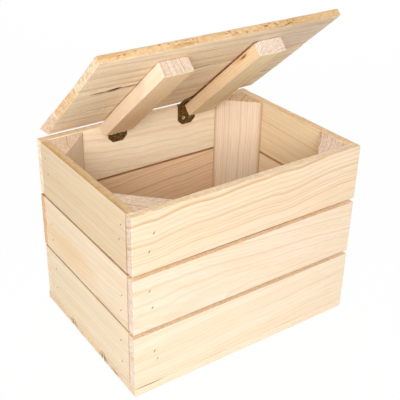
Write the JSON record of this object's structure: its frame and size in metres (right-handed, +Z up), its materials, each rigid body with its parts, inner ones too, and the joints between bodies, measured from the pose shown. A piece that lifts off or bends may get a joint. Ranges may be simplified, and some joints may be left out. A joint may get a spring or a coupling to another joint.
{
  "type": "wooden storage box with hinged lid",
  "caption": "Rustic pine plank storage box, its plank lid standing half open on brass hinges inside the rear wall, with triangular corner posts.",
  "frame": {"origin": "on the ground under the middle of the box", "axes": "X to the right seen from the front, Y to the rear (the hinge side), Z up; the lid stands open as pictured"},
  "size_m": [0.35, 0.25, 0.426],
  "materials": {
    "pine_board": "planed pine, untreated, open grain",
    "pine_batten": "planed pine, untreated, slightly pink",
    "pine_lid": "sawn pine, untreated, greyish tan",
    "hinge_brass": "antique bronzed, satin",
    "screw_steel": "zinc plated, slightly dulled",
    "nail_steel": "dark bright-drawn steel, dulled"
  },
  "bodies": {
    "box": {"front_board_lower": "pine_board", "front_board_middle": "pine_board", "front_board_upper": "pine_board", "right_board_lower": "pine_board", "right_board_middle": "pine_board", "right_board_upper": "pine_board", "back_board_lower": "pine_board", "back_board_middle": "pine_board", "back_board_upper": "pine_board", "left_board_lower": "pine_board", "left_board_middle": "pine_board", "left_board_upper": "pine_board", "base_board_front": "pine_board", "base_board_middle": "pine_board", "base_board_rear": "pine_board", "corner_post_front_left": "pine_batten", "corner_post_front_right": "pine_batten", "corner_post_back_right": "pine_batten", "corner_post_back_left": "pine_batten", "hinge_wall_leaf_left": "hinge_brass", "hinge_wall_leaf_right": "hinge_brass", "hinge_pin_left": "hinge_brass", "hinge_pin_right": "hinge_brass", "hinge_wall_screws": "screw_steel", "front_wall_nails": "nail_steel", "right_wall_nails": "nail_steel", "back_wall_nails": "nail_steel", "left_wall_nails": "nail_steel", "base_nails": "nail_steel"},
    "lid": {"lid_board_rear": "pine_lid", "lid_board_middle": "pine_lid", "lid_board_front": "pine_lid", "lid_batten_left": "pine_batten", "lid_batten_right": "pine_batten", "hinge_lid_leaf_left": "hinge_brass", "hinge_lid_leaf_right": "hinge_brass", "hinge_lid_screws": "screw_steel", "lid_nails": "nail_steel"}
  },
  "joints": [
    {"name": "lid_hinge", "type": "hinge", "parent": "box", "child": "lid", "pos_m": [0, 0.1124, 0.263], "axis": [-1, 0, 0], "range_deg": [-42.1, 137]}
  ]
}
